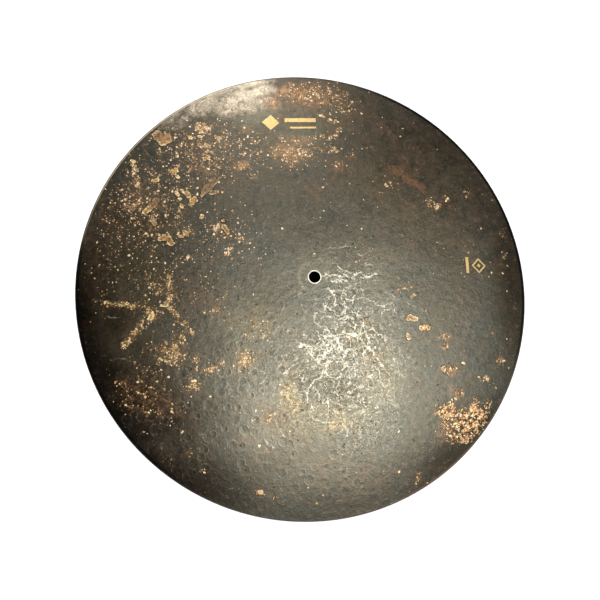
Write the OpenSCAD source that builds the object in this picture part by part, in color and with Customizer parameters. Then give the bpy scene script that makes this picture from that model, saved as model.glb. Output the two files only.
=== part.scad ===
// Bell-less hand-hammered cymbal: one bowed disc of tin bronze with a centre hole.
// Millimetres. +Z is the cymbal's axis and points out of its playing side.
// The origin is on the axis, in the plane of the rim that the disc lies on.

/* [Disc] */
// Outer diameter of the cymbal
cymbal_d = 482.6; // [355.6:0.1:609.6]
// Overall height, from the rim plane to the top of the crown
crown_h = 19; // [8:0.5:40]
// Curve of the bow: 2 is a parabola, less is more conical
bow_power = 2.0; // [1.7:0.05:2.6]

/* [Metal] */
// Thickness at the mounting hole
centre_t = 1.4; // [1.0:0.05:3]
// Thickness at the rim
rim_t = 0.85; // [0.6:0.05:1.6]
// How the metal thins outwards: 1 is an even taper, more keeps the middle thick
taper_power = 1.1; // [1:0.1:3]

/* [Mounting hole] */
// Diameter of the hole for the stand's sleeve
hole_d = 11.8; // [9:0.1:16]
// Edge break on both mouths of the hole
hole_break = 0.25; // [0.1:0.05:0.4]
// Diameter of the flat seat that the felt washers press on
seat_d = 35; // [24:1:60]

/* [Rim] */
// Radius of the burnished rim edges
rim_round = 0.3; // [0.1:0.05:0.3]
// Width of the worn flat that the disc lies on
rim_land = 0.6; // [0.3:0.1:1.5]

/* [Smoothness] */
// Steps used to draw the bow from the seat to the rim
bow_steps = 30; // [12:1:48]
// Facets round the axis when drawn as a mesh
round_facets = 180; // [60:12:240]

/* [Hidden] */
bronze = [0.235, 0.215, 0.185];
rim_r = cymbal_d / 2;
hole_r = hole_d / 2;
seat_r = seat_d / 2;
land_r = rim_r - rim_round - rim_land;
under_h = crown_h - centre_t;
corner_steps = 3;

// Height of the underside at radius r
function under_z(r) =
    r <= seat_r ? under_h
    : under_h * (1 - pow((r - seat_r) / (land_r - seat_r), bow_power));

// Thickness of the metal at radius r, measured along the axis
function metal_t(r) =
    r <= seat_r ? centre_t
    : centre_t + (rim_t - centre_t) * pow((r - seat_r) / (land_r - seat_r), taper_power);

// Radius of bow step i
function step_r(i) = seat_r + (land_r - seat_r) * i / bow_steps;

// Half section of the disc, walked from the hole over the top to the rim and back underneath
function section() = concat(
    [[hole_r, crown_h - hole_break], [hole_r + hole_break, crown_h]],
    [for (i = [0:bow_steps]) [step_r(i), under_z(step_r(i)) + metal_t(step_r(i))]],
    [for (k = [0:corner_steps]) let (a = 90 - 90 * k / corner_steps)
        [rim_r - rim_round + rim_round * cos(a), rim_t - rim_round + rim_round * sin(a)]],
    [for (k = [0:corner_steps]) let (a = -90 * k / corner_steps)
        [rim_r - rim_round + rim_round * cos(a), rim_round + rim_round * sin(a)]],
    [for (i = [bow_steps:-1:0]) [step_r(i), under_z(step_r(i))]],
    [[hole_r + hole_break, under_h], [hole_r, under_h + hole_break]]
);

// The whole cymbal is one casting, rolled, hammered and pierced
module cymbal() {
    color(bronze)
        rotate_extrude($fn = round_facets)
            polygon(section());
}

cymbal();
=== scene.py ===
import math

import bpy
import numpy as np
from mathutils import Matrix, Vector


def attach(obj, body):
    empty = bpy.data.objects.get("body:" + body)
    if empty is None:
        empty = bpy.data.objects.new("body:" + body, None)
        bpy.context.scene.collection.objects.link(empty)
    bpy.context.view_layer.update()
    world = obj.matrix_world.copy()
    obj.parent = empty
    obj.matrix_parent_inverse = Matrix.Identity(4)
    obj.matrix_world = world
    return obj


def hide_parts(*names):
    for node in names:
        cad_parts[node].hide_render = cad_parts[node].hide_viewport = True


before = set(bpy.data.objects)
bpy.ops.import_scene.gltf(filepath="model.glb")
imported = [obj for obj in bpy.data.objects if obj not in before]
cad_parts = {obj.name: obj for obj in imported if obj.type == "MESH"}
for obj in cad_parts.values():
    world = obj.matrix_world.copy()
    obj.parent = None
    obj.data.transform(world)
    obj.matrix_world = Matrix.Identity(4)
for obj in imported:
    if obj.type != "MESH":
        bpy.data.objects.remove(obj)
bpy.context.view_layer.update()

scene = bpy.context.scene
scene.view_settings.view_transform = "Standard"

# ---------------------------------------------------------------- the disc's own section, in mm, as in the CAD
RIM_R = 241.3
HOLE_R = 5.9
BREAK = 0.25
SEAT_R = 17.5
CROWN = 19.0
CENTRE_T = 1.4
RIM_T = 0.85
ROUND = 0.3
LAND = RIM_R - ROUND - 0.6
UNDER = CROWN - CENTRE_T


def bow(r):
    s = np.clip((np.asarray(r, float) - SEAT_R) / (LAND - SEAT_R), 0, 1)
    return UNDER * (1 - s**2)


def thick(r):
    s = np.clip((np.asarray(r, float) - SEAT_R) / (LAND - SEAT_R), 0, 1)
    return CENTRE_T + (RIM_T - CENTRE_T) * s**1.1


# ---------------------------------------------------------------- marks on the playing side, in mm
# soft patches: x, y, half width, half height, turn in degrees, strength
GOLD = [
    (-170, 76, 53, 65.7, 0, 0.40), (-121, 140, 58.3, 40.3, 0, 0.45), (-72, 141, 31.8, 27.6, 0, 0.36),
    (-151, -4, 42.4, 42.4, 0, 0.33), (-92, 38, 37.1, 31.8, 0, 0.33), (-207, 17, 23.3, 42.4, 0, 0.2),
    (-120, 168, 11, 8.5, 0, 0.75), (-148, 115, 7.4, 6.4, 0, 0.6), (-167, 105, 6.4, 5.3, 0, 0.55),
    (-190, 73, 12.7, 11.7, 0, 0.6), (-165, 59, 6.4, 6.4, 0, 0.6), (-130, 48, 6.4, 7.4, 0, 0.6),
    (-95, 51, 12.7, 9.5, 0, 0.56), (-110, 18, 6.4, 5.3, 0, 0.5), (-92, 23, 6.4, 5.3, 0, 0.5),
    (-133, 156, 6.4, 5.3, 0, 0.6), (-102, 155, 5.3, 4.2, 0, 0.5), (-114, 146, 5.3, 4.2, 0, 0.5),
    (-75, 121, 7.4, 5.3, 0, 0.5), (-63, 110, 6.4, 5.3, 0, 0.5), (-63, 150, 6.4, 4.2, 20, 0.5),
    (-22, 138, 27.6, 15.9, 0, 0.55), (-18, 148, 19.1, 10.6, 0, 0.35), (3, 219, 37, 17, 0, 0.53), (40, 222, 9, 8, 0, 0.5), (49, 212, 5, 5, 0, 0.45), (11, 191, 5, 3.4, 0, 0.6), (-33, 157, 3.2, 3.2, 0, 0.6), (-52, 157, 3.2, 3.2, 0, 0.6), (-62, 152, 4, 3, 0, 0.55), (-129, 20, 7, 5, 0, 0.5), (-170, 13, 6, 6, 0, 0.5), (-200, 30, 5, 5, 0, 0.45), (-202, 93, 6, 6, 0, 0.45), (8, 160, 20, 8, 25, 0.34), (22, 150, 15, 7, 40, 0.40), (42, 140, 8, 6, 0, 0.34), (-58, 140, 14, 10, 0, 0.32),
    (35, 205, 17, 17, 0, 0.4), (24, 161, 9.5, 3.2, 35, 0.5), (31, 126, 5.3, 6.4, 0, 0.4),
    (86, 106, 5.3, 6.4, -50, 0.5), (76, 96, 4.2, 3.2, 0, 0.45), (141, 85, 7.4, 3.2, 45, 0.8),
    (154, 93, 3.2, 4.2, 45, 0.5), (134, 88, 6.4, 6.4, 0, 0.55), (180, 104, 5.3, 6.4, 0, 0.35), (221, 57, 5.3, 7.4, 0, 0.42),
    (219, 33, 4.2, 6.4, 0, 0.45), (28, 127, 5.3, 7.4, 0, 0.5), (28, 170, 8.5, 4.2, 20, 0.5), (25, 145, 7.4, 5.3, 35, 0.6),
    (63, 150, 8.5, 5.3, 0, 0.3), (47, 16, 10.6, 4.2, 0, 0.25), (53, 32, 14.8, 4.2, 0, 0.25), (81, 50, 3.2, 6.4, 0, 0.3),
    (100, -9, 9.5, 5.3, 0, 0.45), (104, -19, 3.2, 4.2, 0, 0.6),
    (133, 37, 3.2, 6.4, 0, 0.35), (-146, -17, 4.2, 17, 0, 0.75), (-159, -15, 6.4, 6.4, 0, 0.6),
    (-163, -38, 9.5, 9.5, 0, 0.75), (-142, -77, 18, 18, 0, 0.57), (-160, -74, 10.6, 8.5, 0, 0.5),
    (-118, -83, 5.3, 6.4, 0, 0.5), (-100, -90, 6.4, 5.3, 30, 0.6), (-110, -94, 6.4, 6.4, 0, 0.45),
    (-120, -108, 9.5, 8.5, 0, 0.66), (-71, -85, 11.7, 9.5, 35, 0.65), (-93, -21, 5.3, 6.4, 0, 0.65),
    (-101, -38, 8.5, 7.4, 0, 0.5), (-61, -55, 21.2, 12.7, 0, 0.28), (-164, -122, 38, 20, -20, 0.31),
    (-186, -108, 12.7, 8.5, -20, 0.30), (-162, -99, 27.6, 12.7, 0, 0.30), (-54, -211, 5.3, 4.2, 0, 0.8),
    (-108, -190, 6.4, 2.1, 20, 0.5), (-122, -172, 5.3, 5.3, 0, 0.35), (-142, -178, 6.4, 5.3, 0, 0.3),
    (-23, -120, 8.5, 15.9, 10, 0.22), (-49, -139, 17, 9.5, 0, 0.36), (-41, -217, 3.2, 2.1, 0, 0.5),
    (0, -222, 4.2, 2.1, 0, 0.7), (105, -203, 6.4, 5.3, 0, 0.4), (204, -86, 7.4, 9.5, 0, 0.4),
    (184, -106, 8.5, 4.2, -20, 0.5), (21, -148, 12.7, 5.3, 10, 0.24), (-116, 160, 8.5, 8.5, 0, 0.35),
]
GOLD_STREAKS = [
    (-191, 126, -185, 98, 4.8, 0.66), (-208, -27, -171, -31, 3.6, 0.60), (-222, -25, -208, -27, 2.6, 0.5), (-189, -69, -165, -42, 4.6, 0.64), (-147, 0, -146, -31, 4.2, 0.70), (-146, -32, -123, -55, 3.6, 0.66), (12, 190, 27, 180, 2.8, 0.66), (19, 158, 33, 172, 3.4, 0.58), (2, 150, 11, 144, 2.8, 0.52), (-115, -81, -118, -93, 3.4, 0.5), (-106, -95, -92, -88, 4.0, 0.6),
    (-140, -41, -123, -57, 4.2, 0.65), (-195, -105, -176, -115, 3.7, 0.4),
]
COPPER = [
    (139, -137, 12.5, 10.6, 0, 0.95), (155, -150, 14.5, 13.5, 0, 1), (173, -143, 12.2, 12.2, 60, 1),
    (184, -134, 5.5, 7.4, -35, 0.8), (144, -162, 8, 8, 0, 0.78), (137, -150, 6.4, 8.5, 0, 0.62), (159, -164, 9.5, 6.4, 0, 0.75), (171, -155, 10.6, 8.5, 0, 0.9),
    (153, -118, 5.3, 5.3, 0, 0.65), (172, -125, 3.2, 2.6, 0, 0.5), (102, -42, 4.6, 2.8, 0, 0.8),
    (117, -51, 5, 2.6, 10, 0.8), (98, -61, 2.8, 3.2, 0, 0.75), (106, -17, 3, 3, 0, 0.6),
    (140, -61, 13.8, 4.2, 0, 0.30), (140, -72, 4.2, 4.2, 0, 0.5), (146, -96, 8.5, 6.4, 30, 0.6),
    (137, -95, 4.2, 4.2, 0, 0.65), (47, -70, 5.3, 6.4, 0, 0.3), (57, -82, 6.4, 3.2, 0, 0.3),
]
FLAKES = [
    (-165, 157, -158, 155, 6.4, 0.62), (-171, 160, -167, 162, 2.7, 0.7), (-162, 148, -154, 152, 2.8, 0.9), (-105, 104, -114, 93, 4.2, 0.35),
    (-114, 93, -117, 88, 2.8, 0.5), (-124, 83, -127, 79, 3.2, 1), (-129, 77, -127, 79, 2.3, 1), (-164, 81, -168, 76, 4.2, 0.35),
    (-170, 73, -175, 69, 2.8, 0.85), (-174, 67, -172, 70, 2.1, 0.9), (-158, 39, -154, 41, 2.5, 0.8), (-154, 41, -149, 39, 3.1, 0.75),
    (-149, 39, -146, 34, 3, 0.9), (-133, 90, -131, 87, 2.9, 0.9), (-144, 91, -142, 88, 2, 1), (-139, 93, -137, 91, 1.5, 1),
    (-140, 83, -138, 83, 1.6, 1), (-138, 76, -137, 74, 2, 0.9), (-107, 90, -102, 91, 2.4, 0.6), (-149, 113, -146, 116, 3.2, 0.9),
    (-144, 109, -142, 108, 1.8, 1), (-115, 130, -112, 132, 2.7, 0.9), (-169, 104, -163, 105, 2, 0.9), (-193, 129, -190, 126, 1.9, 0.95),
    (-190, 121, -186, 116, 2.3, 0.85), (-186, 98, -184, 101, 2, 1), (-133, 157, -131, 155, 2.1, 1), (-123, 157, -119, 156, 1.6, 0.9),
    (-115, 147, -111, 144, 2.1, 0.8), (-104, 157, -101, 155, 2.5, 0.7), (-167, 60, -164, 55, 2.3, 0.55), (-117, 62, -116, 65, 1.8, 0.9),
    (-95, 60, -94, 59, 1.8, 1), (-94, 53, -90, 47, 2.5, 0.7), (-134, 47, -130, 44, 2.3, 0.7), (-135, 42, -138, 42, 1.8, 1),
    (-154, -30, -148, -30, 1.6, 0.9), (-149, -28, -147, -25, 2.1, 0.9), (-164, -40, -162, -38, 2, 0.9), (-165, -43, -162, -42, 2, 0.9),
    (-55, -211, -53, -212, 2, 0.9), (-41, -217, -40, -217, 1.2, 1), (-110, -191, -107, -191, 1.1, 0.9), (98, -42, 102, -41, 2.8, 0.75),
    (103, -42, 108, -43, 2.3, 0.8), (113, -52, 120, -52, 3, 0.7), (97, -60, 99, -63, 2.3, 0.85), (135, -94, 137, -96, 2.1, 0.8),
    (143, -95, 144, -96, 1.8, 0.95), (158, -89, 160, -89, 1.7, 1), (156, -168, 160, -168, 3.3, 0.75), (160, -166, 160, -170, 2.3, 0.85),
    (138, -130, 140, -129, 1.5, 0.6), (148, -125, 149, -126, 1.6, 0.7), (182, -107, 183, -108, 0.9, 1), (188, -108, 190, -108, 0.8, 1),
    (176, -103, 178, -104, 1.2, 0.5), (151, 91, 155, 96, 1.2, 1), (82, 104, 85, 106, 1.0, 0.8), (28, 184, 31, 182, 1.6, 0.7),
    (21, 185, 23, 184, 1.4, 0.8),
]
RUST = [
    (135, 120, 92, 95, 0, 0.36), (60, 185, 60, 34, 0, 0.30), (-60, 90, 60, 40, 0, 0.14),
    (108, 122, 20, 17, 20, 0.9), (88, 180, 22, 17, -20, 0.95), (124, 158, 16, 10, -40, 0.7), (4, 95, 19.1, 13.8, 0, 0.8),
    (37, 118, 26, 15, 20, 0.75), (3, 216, 42.4, 21.2, 0, 0.55), (-68, 212, 23.3, 12.7, 20, 0.25),
    (-24, 136, 31.8, 17, 0, 0.35), (-120, 122, 53, 37.1, 0, 0.2), (-162, -124, 46, 27, -20, 0.41),
    (-151, -161, 42.4, 31.8, -35, 0.35), (-225, 49, 23.3, 63.6, 0, 0.4), (-110, -25, 23.3, 19.1, 0, 0.35),
    (139, -65, 21.2, 12.7, 0, 0.25), (35, -193, 63.6, 17, 0, 0.35), (-55, -153, 42.4, 21.2, 0, 0.25),
    (168, 76, 27.6, 19.1, 40, 0.5), (-43, 202, 11, 10, 0, 0.9), (-82, 121, 6, 5, 0, 0.9), (-98, 188, 9.5, 7.4, 0, 0.5),
]
RUST_STREAKS = [
    (91, 127, 124, 105, 5.3, 0.95),
]
VEIN = [
    (22, -74, 27.6, 23.3, 0, 1), (49, -60, 25.4, 21.2, 0, 0.85), (32, -29, 27.6, 23.3, 0, 0.7),
    (38, 0, 27.6, 7.4, 0, 0.85), (59, -77, 19.1, 17, 0, 0.6), (74, -34, 23.3, 17, -30, 0.45),
    (5, -110, 25.4, 27.6, 0, 0.5), (35, -115, 31.8, 23.3, 0, 0.4), (-15, -75, 23.3, 19.1, 0, 0.4),
    (-30, -100, 21.2, 23.3, 0, 0.28), (80, -84, 19, 23, 0, 0.30), (66, -97, 19, 15, 0, 0.50),
]
# pale haze near the upper-left rim: partly pale patina, partly a painted highlight
HAZE_AND_PAINTED_HIGHLIGHT = [
    (-66, 229, 13, 4, 16, 0.9), (-80, 223, 14, 4.5, 20, 0.7),
    (-61, 217, 12.7, 5.3, 15, 1), (-73, 211, 10.6, 6.4, 20, 0.9), (-86, 202, 10.6, 5.3, 20, 0.7), (-52, 223, 7.4, 4.2, 10, 0.7),
    (-77, 194, 12.7, 4.2, 10, 0.32), (-93, 191, 7.4, 5.3, 0, 0.26), (-69, 225, 8.5, 3.2, 15, 0.6),
]
# soft pale patches near the upper-left rim: partly pale patina, partly a painted highlight
SOFT_AND_PAINTED_HIGHLIGHT = [
    (-104, 213, 34, 8, 29, 0.72), (-62, 230, 26, 6.5, 15, 0.88), (-152, 183, 24, 8, 50, 0.50), (-128, 203, 20, 9, 32, 0.55),
    (-75, 205, 29.7, 17, 14, 1), (-94, 194, 19.1, 12.7, 10, 0.78), (-54, 220, 15.9, 9.5, 14, 1), (-120, 198, 26, 13, 32, 0.85),
    (-142, 177, 24, 8.5, 38, 0.5),
]
AMBER = [
    (-43, 205, 9.5, 9.5, 0, 0.75), (-32, 218, 9.5, 6.4, 35, 0.6), (-121, 168, 8, 6, 0, 0.5), (-12, 156, 14, 6, 0, 0.4), (-25, 226, 6.4, 5.3, 0, 0.7), (-75, 123, 7.4, 4.2, 10, 0.95),
    (-24, 140, 16, 9.5, 0, 0.5), (-114, 115, 9.5, 5.3, -20, 0.35), (-184, 93, 7.4, 17, 5, 0.25), (-191, 78, 9.5, 7.4, 0, 0.25),
    (-97, 49, 10.6, 6.4, -10, 0.3), (-72, 168, 5.3, 4.2, 0, 0.4), (-118, 165, 7.4, 4.2, 0, 0.4), (-135, -78, 14.8, 14.8, 0, 0.15),
    (-186, -111, 29.7, 12.7, 20, 0.10), (-161, -127, 23.3, 9.5, 25, 0.10), (0, 212, 29.7, 12.7, 5, 0.3), (-131, 47, 5.3, 5.3, 0, 0.3),
    (135, -158, 8, 13, -30, 0.30), (146, -97, 4.2, 5.3, 0, 0.5), (138, -61, 9.5, 3.2, 0, 0.3), (149, -119, 7.4, 5.3, -30, 0.4),
    (62, -79, 5.3, 3.2, -40, 0.35), (52, -83, 4.2, 3.2, 0, 0.45), (37, -62, 4.2, 3.2, 0, 0.4), (52, -45, 6.4, 3.2, 0, 0.4),
]
TAN = [
    (2, -142, 36, 19, 0, 0.30), (72, -92, 22, 18, 0, 0.22),
    (-28, -118, 8.5, 12, -10, 1), (-21, -130, 5.5, 13, 8, 1), (21, -148, 17, 7.4, 10, 0.9), (-71, -85, 14.8, 11.7, 35, 0.4),
    (-59, -47, 27.6, 14.8, 0, 0.3), (47, -60, 19.1, 12.7, 0, 0.25), (-18, 143, 33.9, 14.8, 0, 0.3),
]
DARK = [
    (-234, -48, 25, 92, 0, 1.0), (-205, -130, 42, 60, -30, 1.0), (14, -122, 15, 13, 0, 0.16), (-14, -124, 9, 14, 0, 0.20), (25, -115, 18, 18, 0, 0.52), (-95, -75, 16, 16, 0, 0.20), (-173, -88, 26, 34, 0, 0.60), (-55, -75, 18, 16, 0, 0.10), (-214, -14, 19, 54, 0, 0.72), (-57, 8, 19, 18, 0, 0.12), (-133, -152, 24, 22, 0, 0.60), (28, 8, 14, 12, 0, 0.20), (150, 50, 24, 34, 0, 0.11), (155, 95, 20, 20, 0, 0.45), (8, 50, 32, 20, 0, 0.12), (-200, -45, 22, 24, 0, 0.80), (150, 0, 22, 22, 0, 0.07), (110, -80, 20, 20, 0, 0.08), (60, -75, 14, 16, 0, 0.19), (-97, 50, 16, 14, 0, 0.28), (-54, -30, 24, 26, 0, 0.20), (28, 8, 14, 12, 0, 0.12), (-148, -150, 28, 22, -30, 0.42), (-197, -27, 20, 24, 0, 0.36), (-130, -200, 74, 38, -25, 0.9),
    (234, 20, 30, 130, 0, 0.7), (165, 165, 60, 36, -45, 0.55), (205, 95, 34, 60, 20, 0.45), (150, -185, 84, 30, 38, 0.8),
    (112, 150, 70, 50, -30, 0.42), (-13, -106, 15, 14, 0, 0.34), (92, -200, 45, 24, 25, 0.34), (52, -62, 18, 14, 0, 0.15), (-125, 0, 26, 14, 60, 0.25),
    (130, 154, 9, 5, -45, 0.8),
    (-165, -128, 60, 46, -30, 0.76), (-198, -66, 22, 30, 0, 0.45), (-170, 10, 62, 100, 0, 0.38), (-120, 120, 80, 50, 20, 0.28), (60, -228, 120, 18, 0, 0.35),
]
# lighter patches: partly felt polish round the hub, partly a painted sheen spreading the key light's highlight
PALE_AND_PAINTED_SHEEN = [
    (-80, -20, 48, 95, 0, 0.11), (-60, -120, 38, 38, 0, 0.12), (-40, -168, 44, 26, 10, 0.12), (68, -97, 22, 18, 0, 0.13), (-57, -130, 26, 30, 0, 0.34), (-55, -158, 22, 20, 0, 0.42), (-12, 192, 30, 12, 0, 0.10), (-137, 48, 18, 16, 0, 0.20), (-62, 188, 26, 17, 0, 0.48), (-14, 152, 20, 18, 0, 0.16), (-100, 135, 24, 20, 0, 0.14), (-140, 100, 18, 18, 0, 0.10), (-97, 95, 20, 18, 0, 0.12), (68, 7, 17, 17, 0, 0.17), (66, -117, 18, 17, 0, 0.20), (-137, 22, 30, 24, 0, 0.13), (-132, -113, 22, 18, 0, 0.24), (-182, 96, 20, 26, 0, 0.34), (69, -34, 20, 18, 0, 0.17), (-15, -193, 30, 20, 0, 0.12), (5, 6, 32, 24, 0, 0.13), (-82, 104, 36, 36, 0, 0.13),
]
WARM = [
    (135, 130, 95, 85, 0, 0.62), (40, 205, 90, 40, 0, 0.55), (-205, -15, 52, 105, 0, 1.0), (-60, 185, 70, 34, 0, 0.45), (225, 10, 26, 90, 0, 0.7), (-190, 60, 50, 50, 0, 0.6),
]
BLACK = [
    (-238, -42, 52, 12, -83, 0.80), (-214, -96, 52, 22, -67, 0.80), (-222, -104, 46, 13, -64, 1.0), (-156, -186, 50, 14, -38, 0.85), (-188, -146, 46, 27, -50, 0.84), (-164, -130, 48, 30, -35, 0.52), (-140, -85, 40, 30, 0, 0.16),
]
HITS = [
    (-79, -152, 63.6, 44.5, 0, 1), (-113, -128, 42.4, 47.7, 0, 0.9), (-53, -97, 48.8, 50.9, 0, 0.9), (14, -191, 63.6, 31.8, 0, 0.7),
    (-15, -50, 60, 48, 0, 0.75), (-160, -151, 42.4, 42.4, 0, 0.5),
]
FOAM = [
    (-2, -75, 13.8, 9.5, -20, 0.65), (13, -68, 13.8, 8.5, 0, 0.61), (7, -83, 10.6, 9.5, 0, 0.68), (23, -75, 8.5, 15.9, 0, 0.60), (22, -62, 21.2, 6.4, 0, 0.5),
    (52, -75, 10.6, 5.3, -40, 0.61), (-10, -70, 8.5, 6.4, 0, 0.43), (38, -70, 10.6, 8.5, 0, 0.32), (35, -100, 14.8, 10.6, 0, 0.29), (15, -97, 10.6, 8.5, 0, 0.36),
    (66, -95, 13, 9, -30, 0.34), (31, -43, 17, 10.6, 0, 0.18), (-19, -93, 10.6, 6.4, 20, 0.22),
]
RINGS = [
    (-94, 196, 3.8, 0.9), (-79, 207, 3.6, 0.9), (-78, 199, 3.6, 1), (-89, 184, 3.3, 0.8), (-81, 184, 2.7, 0.7), (-66, 222, 2.4, 0.7),
    (-58, 210, 2.1, 0.8), (-73, 189, 2.3, 0.6), (-108, 189, 1.9, 0.9), (-70, 212, 2.1, 0.7), (-54, 220, 2.5, 0.8), (-103, 208, 2.8, 0.5), (-86, 194, 2.3, 0.5),
]
GRIT = [
    (45, -120, 44.5, 53, 0, 1), (15, -95, 53, 42.4, 0, 0.7), (-15, -124, 42.4, 47.7, 0, 0.55), (78, -86, 31.8, 31.8, 0, 0.5), (31, -45, 47.7, 31.8, 0, 0.5),
    (-55, -85, 42.4, 47.7, 0, 0.35), (49, 13, 47.7, 23.3, 0, 0.4),
]
# crack lines: half width, strength, points
LINES = [
    (0.55, 0.95, (7.1, 0.5), (12.4, 2.7), (17.6, 1.9), (22.9, 2.2), (27, 0.8)),
    (0.5, 0.9, (25.2, 11.4), (28.3, 7.6), (32.5, 6.9), (38.8, 5.3), (41.8, 4.4)),
    (0.6, 0.95, (41.1, 3), (44.4, 4.4), (49.1, 5.2), (52.5, 1.9), (58.4, 0.4), (61.3, 3.9), (66, 5)),
    (0.5, 0.85, (17.7, -4.4), (21.6, -4.9), (26.3, -4.8), (29, -2.8), (32.9, -3.3)),
    (0.35, 0.35, (40.3, 1.8), (39.6, -3), (42.2, -7.2)),
    (0.5, 0.85, (13.1, -12.7), (17.5, -14.3), (20.1, -19.1), (21.2, -26.3), (20.5, -29.5)),
    (0.55, 0.9, (18.2, -14.5), (24.1, -13.2), (29.3, -14), (31.9, -16.3), (33, -21.6), (37, -23.5), (41.6, -23.4)),
    (0.35, 0.45, (32, -11.1), (42.6, -10.9), (44.6, -14.6)),
    (0.4, 0.5, (45.5, -21.9), (49.8, -20.7), (52.9, -21.9), (58.2, -23.2), (62.2, -26.4), (64.7, -27.7)),
    (0.45, 0.65, (67.5, -28.9), (72.9, -30.1), (75.6, -27.6), (81.1, -26.1)),
    (0.45, 0.65, (9.5, -29.6), (10.6, -34.8), (9.3, -38), (13.1, -40.5), (15.7, -41.1)),
    (0.4, 0.55, (2.2, -36.1), (-1.7, -41.2), (-0.5, -46.3), (3.2, -48.6)),
    (0.4, 0.5, (2.3, -32.9), (5.4, -36.8), (10.6, -36)),
    (0.45, 0.65, (18.2, -43), (24.8, -43.9), (30, -41), (32.6, -39.7), (35.2, -42.3)),
    (0.4, 0.55, (32.8, -30.6), (32, -35.8), (30, -41)),
    (0.35, 0.4, (23.2, -29.5), (26.2, -34.6), (30.3, -36.7)),
    (0.4, 0.6, (48.9, -48), (49.4, -49.9), (54.2, -50.9), (58.6, -51.8)),
    (0.55, 0.9, (48.8, -49.9), (47.3, -55), (45.9, -58.9), (41.3, -59.6)),
    (0.6, 0.75, (29.8, -53.9), (28.3, -57.7), (33.5, -58.3), (41.3, -59), (45.3, -60.8), (47.7, -66.5), (52.8, -71.5), (57.9, -76.6), (63.1, -82.5), (67, -88.1), (71.1, -92.6)),
    (0.65, 0.95, (29.7, -57.1), (23.1, -60.2), (16.6, -61.5), (10.2, -61.5), (4.5, -59), (2, -56.4)),
    (0.65, 0.75, (4.5, -59), (5.1, -64.1), (7.6, -67.8), (5, -71.5), (-1.4, -74.1)),
    (0.7, 0.85, (23, -63.3), (22.3, -71.5), (24.1, -79.9), (28.4, -86.6), (32.3, -87.9)),
    (0.6, 0.7, (-15.3, -68.4), (-9, -71.5), (-5.2, -79.1), (-1.4, -84.1), (4.8, -86.5)),
    (0.45, 0.7, (10.3, -54), (14.2, -55.2), (13.4, -59), (11.4, -61.5)),
    (0.35, 0.45, (5.7, -51.7), (8.3, -50.3), (11.4, -52.1)),
    (0.45, 0.6, (19.5, -48.9), (20, -52.6)),
    (0.7, 0.8, (10.1, -70.3), (16.5, -67.8), (19.1, -70.3), (16.4, -75.3), (10, -76.5)),
    (0.5, 0.85, (-16.5, -71.5), (-10.2, -69.1), (-5.2, -71.5), (-4, -79.1), (1, -85.3), (7.3, -91.4), (7.9, -96.4), (4.7, -102), (-0.4, -103.8), (-4.2, -108.7), (-7.9, -113.5), (-8.6, -119.6), (-8, -125.6), (-4.3, -129.3), (-1.7, -134.2)),
    (0.7, 0.8, (15, -85.3), (11.1, -91.3), (10.4, -97.7)),
    (0.4, 0.55, (11, -99), (17.4, -102.7), (21.1, -104), (25, -101.5)),
    (0.4, 0.5, (-31.5, -97.3), (-25.4, -92.5), (-19.2, -88.2)),
    (0.35, 0.4, (-36.5, -91.1), (-32.8, -85.1)),
    (0.35, 0.35, (-53.9, -95.9), (-48.9, -98.5), (-51.2, -105.6), (-55, -108.1)),
    (0.4, 0.5, (32.9, -94.2), (34.1, -99.2), (35.3, -104.2), (32.6, -110.3)),
    (0.4, 0.5, (35.4, -94.9), (39.6, -93.9), (41.6, -97.4), (39.5, -101.4)),
    (0.4, 0.45, (41, -74.2), (38.3, -80.4), (40.8, -85.4)),
    (0.5, 0.6, (39.7, -75.4), (45, -72.3), (48.9, -71.5)),
    (0.4, 0.55, (24.6, -145.6), (28.5, -150.6), (31.6, -154.3), (30.8, -160.3)),
    (0.35, 0.45, (-38.9, -145.6), (-35.1, -152.9), (-31.4, -158.9)),
    (0.6, 0.6, (12.1, -124.7), (12.7, -130.8)),
    (0.45, 0.5, (-3, -141.5), (0.7, -144), (7, -146.5), (13.3, -146.6)),
    (0.3, 0.3, (39.8, -164.3), (39.1, -171.6), (35.8, -179.9)),
    (0.35, 0.35, (-50.9, -161), (-47.2, -166.9), (-41.1, -169.5)),
    (0.22, 0.5, (14, 30.6), (25.7, 32.2), (38.7, 33.7)),
    (0.22, 0.5, (74.8, -14.6), (89.8, -22.2), (106.1, -29.4)),
    (0.4, 0.6, (49.2, 24.7), (51.8, 23.7), (54.1, 25.9)),
    (0.45, 0.6, (54.2, 13.6), (58.4, 15.6), (60.7, 14.2)),
    (0.3, 0.25, (-21.3, -20.6), (-17.5, -18.9), (-14.3, -16.9)),
    (0.3, 0.4, (-13.8, -27.2), (-12.5, -33.7), (-10, -36.1)),
    (0.4, 0.55, (-210.5, -25.9), (-206.6, -26), (-203.6, -28.2), (-199.8, -27.7)),
    (0.35, 0.45, (-205.2, -41), (-201.8, -41.6), (-199, -42.2), (-196.1, -41.4)),
    (0.35, 0.25, (-199.7, -83.1), (-194.4, -82.1), (-187.8, -82.2)),
    (0.3, 0.3, (2.1, 17.1), (5.3, 19.8), (8.4, 15.6)),
    (0.35, 0.4, (12.6, 15.7), (16.8, 15.2), (22.1, 15.3)),
]


def patches(x, y, rows):
    """Soft overlapping patches, strongest wins."""
    out = np.zeros_like(x)
    for cx, cy, rx, ry, turn, s in rows:
        a = math.radians(turn)
        u = ((x - cx) * math.cos(a) + (y - cy) * math.sin(a)) / rx
        v = (-(x - cx) * math.sin(a) + (y - cy) * math.cos(a)) / ry
        out = np.maximum(out, s * np.exp(-0.9 * (u * u + v * v) ** 1.4))
    return out


def along(x, y, x0, y0, x1, y1):
    """Distance to a straight stroke."""
    dx, dy = x1 - x0, y1 - y0
    t = np.clip(((x - x0) * dx + (y - y0) * dy) / max(dx * dx + dy * dy, 1e-6), 0, 1)
    return np.hypot(x - x0 - t * dx, y - y0 - t * dy)


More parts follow.
